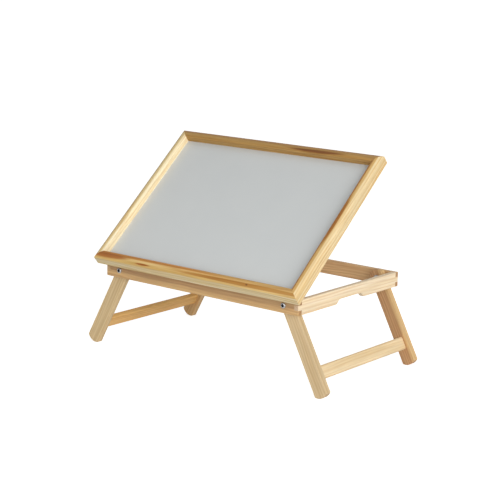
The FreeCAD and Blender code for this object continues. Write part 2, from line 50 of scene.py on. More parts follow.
# ---- the photograph's camera, solved from the table's straight edges ----
PHOTO_WIDTH = 498
SENSOR_WIDTH = 36.0
FOCAL_PIXELS = 1465.4
CAMERA_PLACE = (2.0946, -2.6887, 0.9737)
CAMERA_YAW = math.radians(37.918)
CAMERA_PITCH = math.radians(11.817)
CAMERA_ROLL = math.radians(1.532)

# ---- pivot bolts: a domed head with a hexagon socket ----
BOLT_SIZES = {"Head Radius": 6.68 * MM, "Head Height": 3.2 * MM, "Rim Height": 0.9 * MM, "Shank Radius": 3.0 * MM,
              "Socket Radius": 4.1 * MM, "Socket Depth": 2.4 * MM}
DOME_SEGMENTS = 48
DOME_RINGS = 24
BOLT_SHANK_SIDES = 32
# A hexagon's flats lie at 0.866 of its radius, and a little more takes in the faces that lie on them.
FLATS_SHARE = 0.875

# ---- countersunk screws with a cross recess ----
SCREW_SIZES = {"Head Radius": 2.48 * MM, "Head Depth": 1.2 * MM, "Shank Radius": 1.24 * MM,
               "Cross Length": 2.8 * MM, "Cross Width": 0.55 * MM, "Cross Depth": 0.6 * MM}
SCREW_HEAD_SIDES = 32
SCREW_SHANK_SIDES = 16

MERGE_REACH = 0.002 * MM
SHARP_EDGE = math.radians(30)


# ---- nodes ----
def hex_colour(code):
    """Linear RGBA from a six-digit sRGB hex code."""
    channels = [int(code[start:start + 2], 16) / 255 for start in (0, 2, 4)]
    linear = [value / 12.92 if value <= 0.04045 else ((value + 0.055) / 1.055) ** 2.4 for value in channels]
    return (*linear, 1.0)


def add_node(tree, kind, settings=None, inputs=None, output=0):
    """Adds a node, sets it and links it, and returns one of its outputs. A ramp's stops are (place, grey) pairs, and
    a list of sockets goes into one input that takes several."""
    node = tree.nodes.new(kind)
    for name, value in (settings or {}).items():
        if name == "stops":
            elements = node.color_ramp.elements
            for place, grey in value[2:]:
                elements.new(place)
            for element, (place, grey) in zip(elements, value):
                element.position = place
                element.color = (grey, grey, grey, 1.0)
        else:
            setattr(node, name, value)
    for key, value in (inputs or {}).items():
        for source in value if isinstance(value, list) else [value]:
            if isinstance(source, bpy.types.NodeSocket):
                tree.links.new(source, node.inputs[key])
            else:
                node.inputs[key].default_value = source
    return node.outputs[output] if node.outputs else None


def new_material(name):
    """An empty node material and its tree."""
    material = bpy.data.materials.new(name)
    material.use_nodes = True
    material.node_tree.nodes.clear()
    return material, material.node_tree


def finish_material(tree, **values):
    """Closes a material with one shader that has these values or links."""
    inputs = {key.replace("_", " ").title().replace("Ior", "IOR"): value for key, value in values.items()}
    shader = add_node(tree, "ShaderNodeBsdfPrincipled", None, inputs)
    add_node(tree, "ShaderNodeOutputMaterial", None, {"Surface": shader})


# ---- pine: sawn, planed and sprayed with a thin satin lacquer ----
# Pine grown for furniture has rings 2 to 4 mm apart. They are drawn 6 mm apart here, because 3 mm is one pixel.
RING_SPACING = 6.0 * MM
RING_WANDER = 9.0 * MM
STRIPE_WIDTH = 5.0 * MM
STRIPE_LENGTH = 240.0 * MM
FIBRE_WIDTH = 0.9 * MM
FIBRE_LENGTH = 45.0 * MM
CLOUD_WIDTH = 22.0 * MM
CLOUD_LENGTH = 160.0 * MM
WANDER_SCALE = (4.5, 14.0, 14.0)  # per metre along, across and through the board
STRIPE_PULL = 1.6  # rings that a stripe shifts its surroundings by
RAGGED_PER_SOFTNESS = 0.12
MOST_RAGGED = 0.35
CLOUD_LIGHT = (0.9, 1.08)
FIBRE_LIGHT = (0.92, 1.06)
LATE_STRENGTH = (0.2, 0.7)
KNOT_COLOUR = "5F3A1E"
KNOT_STRETCH = 0.6
END_GRAIN_COLOUR = "8E5F34"
END_GRAIN_STRENGTH = 0.5
# The thin satin lacquer follows the fibres, so a board is rougher and reflects less than one under a thick film.
LACQUER_ROUGHNESS = (0.46, 0.6)
LACQUER_REFLECTION = 0.3
GRAIN_RELIEF = 0.06 * MM


def pine(name, node, along, facing, early, tint, late, bands=(), patches=(), knots=(), pith=(70.0, -45.0), lean=0.02):
    """Lacquered pine for one board, whose grain runs along and whose broad face looks to facing. The eye reads it as
    soft lengthwise lines of pale early and brown late wood, slow changes of tint, and a darker cut across the grain.
    pith is the log's middle in mm across and above the board's. bands are (mm across, softness, colour), each on the
    side with the higher number, or the lower one where the softness is negative. patches are resin-rich places as
    (mm along, mm across, half length, half width, colour), and knots are (mm along, mm across, radius)."""
    material, tree = new_material(name)
    along = along.normalized()
    across = facing.cross(along).normalized()
    turn = Matrix((along, across, along.cross(across)))
    reaches = [turn @ vertex.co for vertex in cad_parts[node].data.vertices]
    start = tuple(-(min(values) + max(values)) / 2 for values in zip(*reaches))
    seed = sum(ord(letter) for letter in node) % 97
    place = add_node(tree, "ShaderNodeTexCoord", None, None, "Object")
    board = add_node(tree, "ShaderNodeMapping", None, {
        "Vector": place, "Rotation": turn.to_euler("XYZ"), "Location": start})
    axes = [add_node(tree, "ShaderNodeSeparateXYZ", None, {0: board}, index) for index in range(3)]

    # growth rings about the pith, which wander slowly and run out of the board at a small angle
    slow_place = add_node(tree, "ShaderNodeMapping", None, {"Vector": board, "Scale": WANDER_SCALE})
    slow = add_node(tree, "ShaderNodeTexNoise", {"noise_dimensions": "4D"}, {
        "Vector": slow_place, "W": seed * 3.1, "Scale": 1.0, "Detail": 2.0, "Roughness": 0.4})
    wander = add_node(tree, "ShaderNodeMapRange", None, {0: slow, 3: -RING_WANDER, 4: RING_WANDER})
    drift = add_node(tree, "ShaderNodeMath", {"operation": "MULTIPLY_ADD"}, {0: axes[0], 1: lean, 2: -pith[1] * MM})
    side = add_node(tree, "ShaderNodeMath", {"operation": "SUBTRACT"}, {0: axes[1], 1: pith[0] * MM})
    depth = add_node(tree, "ShaderNodeMath", {"operation": "ADD"}, {0: axes[2], 1: drift})
    from_pith = add_node(tree, "ShaderNodeCombineXYZ", None, {0: side, 1: depth})
    distance = add_node(tree, "ShaderNodeVectorMath", {"operation": "LENGTH"}, {0: from_pith}, "Value")
    stripe_place = add_node(tree, "ShaderNodeMapping", None, {
        "Vector": board, "Scale": (1 / STRIPE_LENGTH, 1 / STRIPE_WIDTH, 1 / STRIPE_WIDTH)})
    stripe = add_node(tree, "ShaderNodeTexNoise", {"noise_dimensions": "4D"}, {
        "Vector": stripe_place, "W": seed * 1.7, "Scale": 1.0, "Detail": 3.0, "Roughness": 0.5})
    distance = add_node(tree, "ShaderNodeMath", {"operation": "ADD"}, {0: distance, 1: wander})
    distance = add_node(tree, "ShaderNodeMath", {"operation": "MULTIPLY_ADD"}, {
        0: stripe, 1: RING_SPACING * STRIPE_PULL, 2: distance})
    ring = add_node(tree, "ShaderNodeMath", {"operation": "DIVIDE"}, {0: distance, 1: RING_SPACING})
    ring = add_node(tree, "ShaderNodeMath", {"operation": "FRACT"}, {0: ring})
    late_wood = add_node(
        tree, "ShaderNodeValToRGB", {"stops": [(0.0, 0.25), (0.12, 0.0), (0.45, 0.06), (0.85, 0.9), (1.0, 0.3)]},
        {0: ring})

    # stripes, short fibres and slow clouds of tint, all drawn out along the grain
    stripe_share = add_node(tree, "ShaderNodeValToRGB", {"stops": [(0.38, 0.0), (0.62, 1.0)]}, {0: stripe})
    fibre_place = add_node(tree, "ShaderNodeMapping", None, {
        "Vector": board, "Scale": (1 / FIBRE_LENGTH, 1 / FIBRE_WIDTH, 1 / FIBRE_WIDTH)})
    fibre = add_node(tree, "ShaderNodeTexNoise", None, {
        "Vector": fibre_place, "Scale": 1.0, "Detail": 3.0, "Roughness": 0.6})
    cloud_place = add_node(tree, "ShaderNodeMapping", None, {
        "Vector": board, "Scale": (1 / CLOUD_LENGTH, 1 / CLOUD_WIDTH, 1 / CLOUD_WIDTH)})
    cloud = add_node(tree, "ShaderNodeTexNoise", {"noise_dimensions": "4D"}, {
        "Vector": cloud_place, "W": seed * 0.9, "Scale": 1.0, "Detail": 2.0})
    cloud_light = add_node(tree, "ShaderNodeMapRange", None, {
        0: cloud, 1: 0.3, 2: 0.7, 3: CLOUD_LIGHT[0], 4: CLOUD_LIGHT[1]})

    # places that differ in tint: bands along the board, then resin-rich patches. Some bands are painted light and
    # painted shade on one side of a board instead of tint
    ground = hex_colour(early)
    for band_start, softness, code in bands:
        raggedness = min(RAGGED_PER_SOFTNESS * abs(softness), MOST_RAGGED)
        edge = add_node(tree, "ShaderNodeMath", {"operation": "MULTIPLY_ADD"}, {
            0: wander, 1: raggedness, 2: axes[1]})
        share = add_node(tree, "ShaderNodeMapRange", {"interpolation_type": "SMOOTHSTEP"}, {
            0: edge, 1: (band_start - softness) * MM, 2: (band_start + softness) * MM})
        ground = add_node(tree, "ShaderNodeMix", {"data_type": "RGBA"}, {0: share, 6: ground, 7: hex_colour(code)}, 2)
    for patch_along, patch_across, half_length, half_width, code in patches:
        patch_place = add_node(tree, "ShaderNodeMapping", None, {
            "Vector": board, "Location": (-patch_along / half_length, -patch_across / half_width, 0.0),
            "Scale": (1 / (half_length * MM), 1 / (half_width * MM), 0.0)})
        reach = add_node(tree, "ShaderNodeVectorMath", {"operation": "LENGTH"}, {0: patch_place}, "Value")
        ragged = add_node(tree, "ShaderNodeMath", {"operation": "MULTIPLY_ADD"}, {0: stripe, 1: 1.2, 2: reach})
        share = add_node(tree, "ShaderNodeMapRange", {"interpolation_type": "SMOOTHSTEP"}, {
            0: ragged, 1: 1.75, 2: 1.2})
        ground = add_node(tree, "ShaderNodeMix", {"data_type": "RGBA"}, {0: share, 6: ground, 7: hex_colour(code)}, 2)

    # tint and late wood darken whatever the ground is there, in the proportion they have to plain early wood
    tint_cast, late_cast = (
        tuple(dark / light for dark, light in zip(hex_colour(code), hex_colour(early))) for code in (tint, late))
    colour = add_node(tree, "ShaderNodeMix", {"data_type": "RGBA", "blend_type": "MULTIPLY"}, {
        0: stripe_share, 6: ground, 7: tint_cast}, 2)
    late_strength = add_node(tree, "ShaderNodeMapRange", None, {
        0: cloud, 1: 0.35, 2: 0.65, 3: LATE_STRENGTH[0], 4: LATE_STRENGTH[1]})
    late_share = add_node(tree, "ShaderNodeMath", {"operation": "MULTIPLY"}, {0: late_wood, 1: late_strength})
    colour = add_node(tree, "ShaderNodeMix", {"data_type": "RGBA", "blend_type": "MULTIPLY"}, {
        0: late_share, 6: colour, 7: late_cast}, 2)
    for knot_along, knot_across, knot_radius in knots:
        knot_place = add_node(tree, "ShaderNodeMapping", None, {
            "Vector": board, "Location": (-knot_along / knot_radius * KNOT_STRETCH, -knot_across / knot_radius, 0.0),
            "Scale": (KNOT_STRETCH / (knot_radius * MM), 1 / (knot_radius * MM), 0.0)})
        reach = add_node(tree, "ShaderNodeVectorMath", {"operation": "LENGTH"}, {0: knot_place}, "Value")
        share = add_node(tree, "ShaderNodeMapRange", {"interpolation_type": "SMOOTHSTEP"}, {
            0: reach, 1: 1.3, 2: 0.4, 4: 0.8})
        colour = add_node(tree, "ShaderNodeMix", {"data_type": "RGBA"}, {
            0: share, 6: colour, 7: hex_colour(KNOT_COLOUR)}, 2)
    fibre_light = add_node(tree, "ShaderNodeMapRange", None, {
        0: fibre, 1: 0.25, 2: 0.75, 3: FIBRE_LIGHT[0], 4: FIBRE_LIGHT[1]})
    light = add_node(tree, "ShaderNodeMath", {"operation": "MULTIPLY"}, {0: fibre_light, 1: cloud_light})
    colour = add_node(tree, "ShaderNodeMix", {"data_type": "RGBA", "blend_type": "MULTIPLY"}, {
        0: 1.0, 6: colour, 7: light}, 2)

    # a cut across the grain drinks more lacquer and looks darker
    normal = add_node(tree, "ShaderNodeTexCoord", None, None, "Normal")
    end_grain = add_node(
        tree, "ShaderNodeVectorMath", {"operation": "DOT_PRODUCT"}, {0: normal, 1: along}, "Value")
    end_grain = add_node(tree, "ShaderNodeMath", {"operation": "ABSOLUTE"}, {0: end_grain})
    end_share = add_node(tree, "ShaderNodeMapRange", {"interpolation_type": "SMOOTHSTEP"}, {
        0: end_grain, 1: 0.72, 2: 0.96, 4: END_GRAIN_STRENGTH})
    colour = add_node(tree, "ShaderNodeMix", {"data_type": "RGBA"}, {
        0: end_share, 6: colour, 7: hex_colour(END_GRAIN_COLOUR)}, 2)

    rough = add_node(tree, "ShaderNodeMapRange", None, {
        0: fibre, 1: 0.2, 2: 0.8, 3: LACQUER_ROUGHNESS[0], 4: LACQUER_ROUGHNESS[1]})
    height = add_node(tree, "ShaderNodeMath", {"operation": "MULTIPLY_ADD"}, {0: late_wood, 1: 0.5, 2: fibre})
    relief = add_node(tree, "ShaderNodeBump", None, {"Strength": 0.25, "Distance": GRAIN_RELIEF, "Height": height})
    finish_material(tree, base_color=colour, roughness=rough, normal=relief, specular_ior_level=LACQUER_REFLECTION)
    return material


# ---- the other materials ----
def melamine_panel():
    """Melamine film pressed on thin fibreboard: matt, grey-white, with a faint pebble that softens reflections."""
    material, tree = new_material("melamine_faced_board")
    place = add_node(tree, "ShaderNodeTexCoord", None, None, "Object")
    cloud = add_node(tree, "ShaderNodeTexNoise", None, {"Vector": place, "Scale": 1 / (110 * MM), "Detail": 3.0})
    pebble = add_node(tree, "ShaderNodeTexNoise", None, {"Vector": place, "Scale": 1 / (0.8 * MM), "Detail": 1.0})
    colour = add_node(tree, "ShaderNodeMix", {"data_type": "RGBA"}, {
        0: cloud, 6: hex_colour("CCD0D0"), 7: hex_colour("D2D5D4")}, 2)
    rough = add_node(tree, "ShaderNodeMapRange", None, {0: cloud, 1: 0.3, 2: 0.7, 3: 0.32, 4: 0.38})
    relief = add_node(tree, "ShaderNodeBump", None, {"Strength": 0.1, "Distance": 0.03 * MM, "Height": pebble})
    finish_material(tree, base_color=colour, roughness=rough, normal=relief)
    return material


# near-black painted shade for the faces inside a bolt's hexagon socket
SOCKET_PAINTED_SHADE = "24262C"


def plated_steel(name, code, dull_code, roughness, mark_size):
    """Turned or pressed steel with a thin bright plating: mirror-like, dulled in patches by handling marks."""
    material, tree = new_material(name)
    place = add_node(tree, "ShaderNodeTexCoord", None, None, "Object")
    marks = add_node(tree, "ShaderNodeTexNoise", None, {"Vector": place, "Scale": 1 / mark_size, "Detail": 4.0})
    dull = add_node(tree, "ShaderNodeValToRGB", {"stops": [(0.45, 0.0), (0.7, 0.6)]}, {0: marks})
    colour = add_node(tree, "ShaderNodeMix", {"data_type": "RGBA"}, {
        0: dull, 6: hex_colour(code), 7: hex_colour(dull_code)}, 2)
    # the faces in a bolt's socket are painted near-black, a painted shade for the deep recess that takes its shine
    in_socket = add_node(tree, "ShaderNodeAttribute", {"attribute_name": "in_socket"}, None, "Fac")
    colour = add_node(tree, "ShaderNodeMix", {"data_type": "RGBA"}, {
        0: in_socket, 6: colour, 7: hex_colour(SOCKET_PAINTED_SHADE)}, 2)
    rough = add_node(tree, "ShaderNodeMapRange", None, {
        0: marks, 1: 0.3, 2: 0.7, 3: roughness * 0.8, 4: roughness * 1.3})
    finish_material(tree, base_color=colour, roughness=rough, metallic=1.0)
    return material


def clear_rubber():
    """Moulded soft polyurethane pad: milky, slightly see-through, dusty on top."""
    material, tree = new_material("moulded_polyurethane")
    place = add_node(tree, "ShaderNodeTexCoord", None, None, "Object")
    dust = add_node(tree, "ShaderNodeTexNoise", None, {"Vector": place, "Scale": 1 / (2.5 * MM), "Detail": 3.0})
    colour = add_node(tree, "ShaderNodeMix", {"data_type": "RGBA"}, {
        0: dust, 6: hex_colour("C6C8C4"), 7: hex_colour("DCDDD9")}, 2)
    rough = add_node(tree, "ShaderNodeMapRange", None, {0: dust, 3: 0.4, 4: 0.65})
    finish_material(tree, base_color=colour, roughness=rough, subsurface_weight=0.15, subsurface_scale=2 * MM)
    return material


def dress(node, material):
    """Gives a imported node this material, through its object's slots, so that its mesh stays as it was packed."""
    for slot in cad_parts[node].material_slots:
        slot.material = material


# Each board: its grain, its broad face, its early wood, tint and late wood, and what is its own. Some boards' bands
# are painted light and painted shade, as noted at those boards.
PALE = ("F0D9AE", "E5C692", "D0A66E")
BOARDS = {
    # the front rail's upper part is darker: partly its own tint, partly painted shadow from the top's overhang
    "front_rail": (X, -Y, "DAB57E", "CCA572", "AC8254", {"bands": ((-5.0, 3.0, "C09C6E"),), "pith": (-90.0, -50.0)}),
    "back_rail": (X, -Y, "E8C290", "D8AA7A", "B28454", {"pith": (-70.0, 50.0)}),
    "right_side_rail": (Y, X, "FCEACC", "F4DCB4", "DCB484", {"pith": (-75.0, -60.0)}),
    "left_side_rail": (Y, X, *PALE, {"pith": (80.0, -30.0)}),
    "notched_track": (Y, Z, *PALE, {}),
    "front_right_leg": (RIGHT_LEG_DOWN, -Y, "DDC59C", "CFB386", "B69263", {"pith": (80.0, -30.0)}),
    "back_right_leg": (RIGHT_LEG_DOWN, -Y, "E8C58D", "D8AE78", "B58756", {
        "bands": ((11.0, -3.0, "D2A87A"),), "pith": (-75.0, -35.0)}),
    "front_left_leg": (LEFT_LEG_DOWN, -Y, "DDC497", "D1B587", "B69464", {"pith": (85.0, -40.0)}),
    "back_left_leg": (LEFT_LEG_DOWN, -Y, "DDB883", "CDA26C", "AC7E4C", {"pith": (-80.0, -30.0)}),
    "right_stretcher": (Y, X, "F8E2BA", "EFD2A0", "D6AC78", {"pith": (65.0, -60.0)}),
    "left_stretcher": (Y, X, "F4C67E", "E6B268", "C48C4C", {"pith": (-70.0, -60.0)}),
    # the pale band on the front moulding's lower side face is painted light, standing for light bounced up from the
    # floor
    "top_front_moulding": (X, TOP_NORMAL, "E0C081", "D2AC64", "AF8244", {
        "bands": ((-5.0, 1.5, "C88F4C"), (-16.8, -0.3, "E2D2AB")),
        "patches": ((-262.0, -6.0, 70.0, 9.0, "B0733A"), (-146.0, -12.5, 26.0, 2.2, "AA6A2C"),
                    (150.0, -10.0, 220.0, 4.5, "B98845"), (200.0, 2.0, 190.0, 7.0, "D2AC6E")),
        "knots": ((163.0, -9.5, 2.0),), "pith": (60.0, -70.0)}),
    "top_back_moulding": (X, TOP_NORMAL, "BF9859", "AF8445", "8F6431", {
        "bands": ((9.0, 2.5, "AA7D47"),), "patches": ((122.0, 0.0, 88.0, 5.0, "855628"),), "pith": (-60.0, -70.0)}),
    # on the left moulding the dark outer band is painted shade on the side away from the key light, and the
    # near-white inner band is painted light on the side facing it
    "top_left_moulding": (TOP_BACKWARDS, TOP_NORMAL, "F0DCA6", "E8CA8E", "CCA560", {
        "bands": ((11.0, 6.0, "9C7A46"), (0.0, -3.0, "FFF2CE")), "pith": (75.0, -80.0)}),
    # on the right moulding the dark brown band on the inner slope is painted shade on the side away from the key
    # light
    "top_right_moulding": (TOP_BACKWARDS, TOP_NORMAL, "F0DAAC", "E6C68C", "CC9E5E", {
        "bands": ((-8.0, 2.0, "DFBC7C"), (-1.5, 2.5, "B98544")), "patches": ((5.0, -2.0, 70.0, 5.0, "A86E2C"),),
        "pith": (-75.0, -80.0)}),
    "prop_batten": (X, TOP_NORMAL, *PALE, {}),
    "prop_pivot_blocks": (X, TOP_NORMAL, *PALE, {}),
    "prop_left_arm": (TOP_BACKWARDS, X, *PALE, {}),
    "prop_right_arm": (TOP_BACKWARDS, X, *PALE, {}),
    "prop_foot_rod": (X, -Y, *PALE, {}),
}


# ---- fasteners, built by geometry nodes ----
def fasteners_of(node, facing):
    """Middle of each fastener's head end, the way that end looks, and the fastener's length. facing gives that way
    from a point of the fastener."""
    shape = bmesh.new()
    shape.from_mesh(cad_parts[node].data)
    bmesh.ops.remove_doubles(shape, verts=shape.verts, dist=MERGE_REACH)
    found = []
    reached = set()
    # the vertices are walked in the mesh's order, as sums in another order differ in their last digit
    for start in shape.verts:
        if start in reached:
            continue
        reached.add(start)
        solid = [start]
        for vertex in solid:
            for link in vertex.link_edges:
                neighbour = link.other_vert(vertex)
                if neighbour not in reached:
                    reached.add(neighbour)
                    solid.append(neighbour)
        looks = facing(start.co).normalized()
        heights = [vertex.co.dot(looks) for vertex in solid]
        rim = [vertex.co for vertex in solid if vertex.co.dot(looks) > max(heights) - MERGE_REACH]
        found.append((sum(rim, Vector()) / len(rim), looks, max(heights) - min(heights)))
    shape.free()
    return sorted(found, key=lambda fastener: tuple(fastener[0]))


def new_group(name, sizes):
    """Geometry node group with a named input for each size in metres, and one for the material."""
    group = bpy.data.node_groups.new(name, "GeometryNodeTree")
    group.interface.new_socket("Geometry", in_out="OUTPUT", socket_type="NodeSocketGeometry")
    group.interface.new_socket("Geometry", in_out="INPUT", socket_type="NodeSocketGeometry")
    for size in sizes:
        group.interface.new_socket(size, in_out="INPUT", socket_type="NodeSocketFloat")
    group.interface.new_socket("Material", in_out="INPUT", socket_type="NodeSocketMaterial")
    return group, group.nodes.new("NodeGroupInput").outputs


def place_on_points(tree, entry, shape):
    """Ends a group: the shape, whose z axis is its own, stands on every point and looks the point's way."""
    angle = add_node(tree, "GeometryNodeInputMeshEdgeAngle")
    sharp = add_node(tree, "ShaderNodeMath", {"operation": "GREATER_THAN"}, {0: angle, 1: SHARP_EDGE})
    smooth = add_node(tree, "GeometryNodeSetShadeSmooth", {"domain": "FACE"}, {"Geometry": shape})
    smooth = add_node(tree, "GeometryNodeSetShadeSmooth", {"domain": "EDGE"}, {
        "Geometry": smooth, "Selection": sharp, "Shade Smooth": False})
    looks = add_node(tree, "GeometryNodeInputNamedAttribute", {"data_type": "FLOAT_VECTOR"}, {"Name": "looks"})
    turn = add_node(tree, "FunctionNodeAlignRotationToVector", {"axis": "Z"}, {"Vector": looks})
    copies = add_node(tree, "GeometryNodeInstanceOnPoints", None, {
        "Points": entry["Geometry"], "Instance": smooth, "Rotation": turn})
    real = add_node(tree, "GeometryNodeRealizeInstances", None, {"Geometry": copies})
    dressed = add_node(tree, "GeometryNodeSetMaterial", None, {"Geometry": real, "Material": entry["Material"]})
    add_node(tree, "NodeGroupOutput", None, {"Geometry": dressed})


def bolt_group():
    """Bolt with the top of its dome at its point: a low dome on a straight rim, a hexagon socket, a plain shank."""
    tree, entry = new_group("domed_socket_bolt", (
        "Head Radius", "Head Height", "Rim Height", "Shank Radius", "Length", "Socket Radius", "Socket Depth"))
    # the dome is the upper half of a flattened ball, and its lower half is pressed flat to make the straight rim
    dome_height = add_node(tree, "ShaderNodeMath", {"operation": "SUBTRACT"}, {
        0: entry["Head Height"], 1: entry["Rim Height"]})
    flatness = add_node(tree, "ShaderNodeMath", {"operation": "DIVIDE"}, {0: dome_height, 1: entry["Head Radius"]})
    flatten = add_node(tree, "ShaderNodeCombineXYZ", None, {0: 1.0, 1: 1.0, 2: flatness})
    ball = add_node(tree, "GeometryNodeMeshUVSphere", None, {
        "Segments": DOME_SEGMENTS, "Rings": DOME_RINGS, "Radius": entry["Head Radius"]})
    ball = add_node(tree, "GeometryNodeTransform", None, {"Geometry": ball, "Scale": flatten})
    ball_place = add_node(tree, "GeometryNodeInputPosition")
    ball_axes = [add_node(tree, "ShaderNodeSeparateXYZ", None, {0: ball_place}, index) for index in range(3)]
    below = add_node(tree, "ShaderNodeMath", {"operation": "LESS_THAN"}, {0: ball_axes[2], 1: -MERGE_REACH})
    rim_end = add_node(tree, "ShaderNodeMath", {"operation": "MULTIPLY"}, {0: entry["Rim Height"], 1: -1.0})
    pressed = add_node(tree, "ShaderNodeCombineXYZ", None, {0: ball_axes[0], 1: ball_axes[1], 2: rim_end})
    head = add_node(tree, "GeometryNodeSetPosition", None, {
        "Geometry": ball, "Selection": below, "Position": pressed})
    head_place = add_node(tree, "ShaderNodeMath", {"operation": "MULTIPLY"}, {0: dome_height, 1: -1.0})
    head_place = add_node(tree, "ShaderNodeCombineXYZ", None, {2: head_place})
    head = add_node(tree, "GeometryNodeTransform", None, {"Geometry": head, "Translation": head_place})
    # the hexagon is turned by half a segment of the dome, so that no corner of it falls on an edge of the dome
    socket_length = add_node(tree, "ShaderNodeMath", {"operation": "MULTIPLY"}, {0: entry["Socket Depth"], 1: 2.0})
    socket = add_node(tree, "GeometryNodeMeshCylinder", {"fill_type": "NGON"}, {
        "Vertices": 6, "Radius": entry["Socket Radius"], "Depth": socket_length})
    socket = add_node(tree, "GeometryNodeTransform", None, {
        "Geometry": socket, "Rotation": (0.0, 0.0, math.pi / DOME_SEGMENTS)})
    head = add_node(tree, "GeometryNodeMeshBoolean", {"operation": "DIFFERENCE", "solver": "EXACT"}, {
        "Mesh 1": head, "Mesh 2": socket})
    # faces nearer to the axis than the socket's flats are the socket's own
    place = add_node(tree, "GeometryNodeInputPosition")
    flat_place = add_node(tree, "ShaderNodeVectorMath", {"operation": "MULTIPLY"}, {0: place, 1: (1.0, 1.0, 0.0)})
    from_axis = add_node(tree, "ShaderNodeVectorMath", {"operation": "LENGTH"}, {0: flat_place}, "Value")
    flats = add_node(tree, "ShaderNodeMath", {"operation": "MULTIPLY"}, {0: entry["Socket Radius"], 1: FLATS_SHARE})
    inside = add_node(tree, "ShaderNodeMath", {"operation": "LESS_THAN"}, {0: from_axis, 1: flats})
    head = add_node(tree, "GeometryNodeStoreNamedAttribute", {"data_type": "FLOAT", "domain": "FACE"}, {
        "Geometry": head, "Name": "in_socket", "Value": inside})
    shank_length = add_node(tree, "ShaderNodeMath", {"operation": "SUBTRACT"}, {
        0: entry["Length"], 1: entry["Head Height"]})
    shank_place = add_node(tree, "ShaderNodeMath", {"operation": "MULTIPLY"}, {0: shank_length, 1: -0.5})
    shank_place = add_node(tree, "ShaderNodeMath", {"operation": "SUBTRACT"}, {
        0: shank_place, 1: entry["Head Height"]})
    shank_place = add_node(tree, "ShaderNodeCombineXYZ", None, {2: shank_place})
    shank = add_node(tree, "GeometryNodeMeshCylinder", {"fill_type": "NGON"}, {
        "Vertices": BOLT_SHANK_SIDES, "Radius": entry["Shank Radius"], "Depth": shank_length})
    shank = add_node(tree, "GeometryNodeTransform", None, {"Geometry": shank, "Translation": shank_place})
    whole = add_node(tree, "GeometryNodeJoinGeometry", None, {"Geometry": [head, shank]})
    place_on_points(tree, entry, whole)
    return tree


def screw_group():
    """Countersunk screw whose flat head is level with its point: a cone with a cross recess, and a plain shank."""
    tree, entry = new_group("countersunk_cross_screw", (
        "Head Radius", "Head Depth", "Shank Radius", "Length", "Cross Length", "Cross Width", "Cross Depth"))
    cone_place = add_node(tree, "ShaderNodeMath", {"operation": "MULTIPLY"}, {0: entry["Head Depth"], 1: -1.0})
    cone_place = add_node(tree, "ShaderNodeCombineXYZ", None, {2: cone_place})
    cone = add_node(tree, "GeometryNodeMeshCone", {"fill_type": "NGON"}, {
        "Vertices": SCREW_HEAD_SIDES, "Radius Top": entry["Head Radius"], "Radius Bottom": entry["Shank Radius"],
        "Depth": entry["Head Depth"]})
    cone = add_node(tree, "GeometryNodeTransform", None, {"Geometry": cone, "Translation": cone_place})
    cut_depth = add_node(tree, "ShaderNodeMath", {"operation": "MULTIPLY"}, {0: entry["Cross Depth"], 1: 2.0})
    slots = []
    for first, second in (("Cross Length", "Cross Width"), ("Cross Width", "Cross Length")):
        slot_shape = add_node(tree, "ShaderNodeCombineXYZ", None, {0: entry[first], 1: entry[second], 2: cut_depth})
        slots.append(add_node(tree, "GeometryNodeMeshCube", None, {"Size": slot_shape}))
    head = add_node(tree, "GeometryNodeMeshBoolean", {"operation": "DIFFERENCE", "solver": "EXACT"}, {
        "Mesh 1": cone, "Mesh 2": slots})
    shank_length = add_node(tree, "ShaderNodeMath", {"operation": "SUBTRACT"}, {
        0: entry["Length"], 1: entry["Head Depth"]})
    shank_place = add_node(tree, "ShaderNodeMath", {"operation": "MULTIPLY"}, {0: shank_length, 1: -0.5})
    shank_place = add_node(tree, "ShaderNodeMath", {"operation": "SUBTRACT"}, {
        0: shank_place, 1: entry["Head Depth"]})
    shank_place = add_node(tree, "ShaderNodeCombineXYZ", None, {2: shank_place})
    shank = add_node(tree, "GeometryNodeMeshCylinder", {"fill_type": "NGON"}, {
        "Vertices": SCREW_SHANK_SIDES, "Radius": entry["Shank Radius"], "Depth": shank_length})
    shank = add_node(tree, "GeometryNodeTransform", None, {"Geometry": shank, "Translation": shank_place})
    whole = add_node(tree, "GeometryNodeJoinGeometry", None, {"Geometry": [head, shank]})
    place_on_points(tree, entry, whole)
    return tree


def make_fasteners(name, node, body, group, sizes, material, facing):
    """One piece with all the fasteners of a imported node, in that node's places."""
    fasteners = fasteners_of(node, facing)
    points = bpy.data.meshes.new(f"{name}_places")
    points.from_pydata([place for place, _, _ in fasteners], [], [])
    looks = points.attributes.new("looks", "FLOAT_VECTOR", "POINT")
    for entry, (_, way, _) in zip(looks.data, fasteners):
        entry.vector = way
    source = bpy.data.objects.new(f"{name}_places", points)
    bpy.context.scene.collection.objects.link(source)
    modifier = source.modifiers.new(name, "NODES")
    modifier.node_group = group
    values = {"Length": fasteners[0][2], "Material": material, **sizes}
    for socket in group.interface.items_tree:
        if socket.in_out == "INPUT" and socket.name in values:
            modifier[socket.identifier] = values[socket.name]
    evaluated = source.evaluated_get(bpy.context.evaluated_depsgraph_get())
    mesh = bpy.data.meshes.new_from_object(evaluated)
    mesh.name = name
    source.modifiers.clear()
    bpy.data.objects.remove(source)
    piece = bpy.data.objects.new(name, mesh)
    bpy.context.scene.collection.objects.link(piece)
    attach(piece, body)
    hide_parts(node)


dress("writing_panel", melamine_panel())
nickel = plated_steel("nickel_plated_turned_steel", "A2A1A0", "727274", 0.26, 3 * MM)
zinc = plated_steel("zinc_plated_pressed_steel", "B9BABA", "8C8F90", 0.36, 2 * MM)
dress("pivot_nuts", nickel)
for node in ("pivot_washers", "hinge_lower_leaves", "hinge_upper_leaves", "hinge_pins", "prop_pivot_rod"):
    dress(node, zinc)
dress("bumper_pads", clear_rubber())
for node, (along, facing, early, tint, late, own) in BOARDS.items():
    dress(node, pine(f"lacquered_pine_{node}", node, along, facing, early, tint, late, **own))

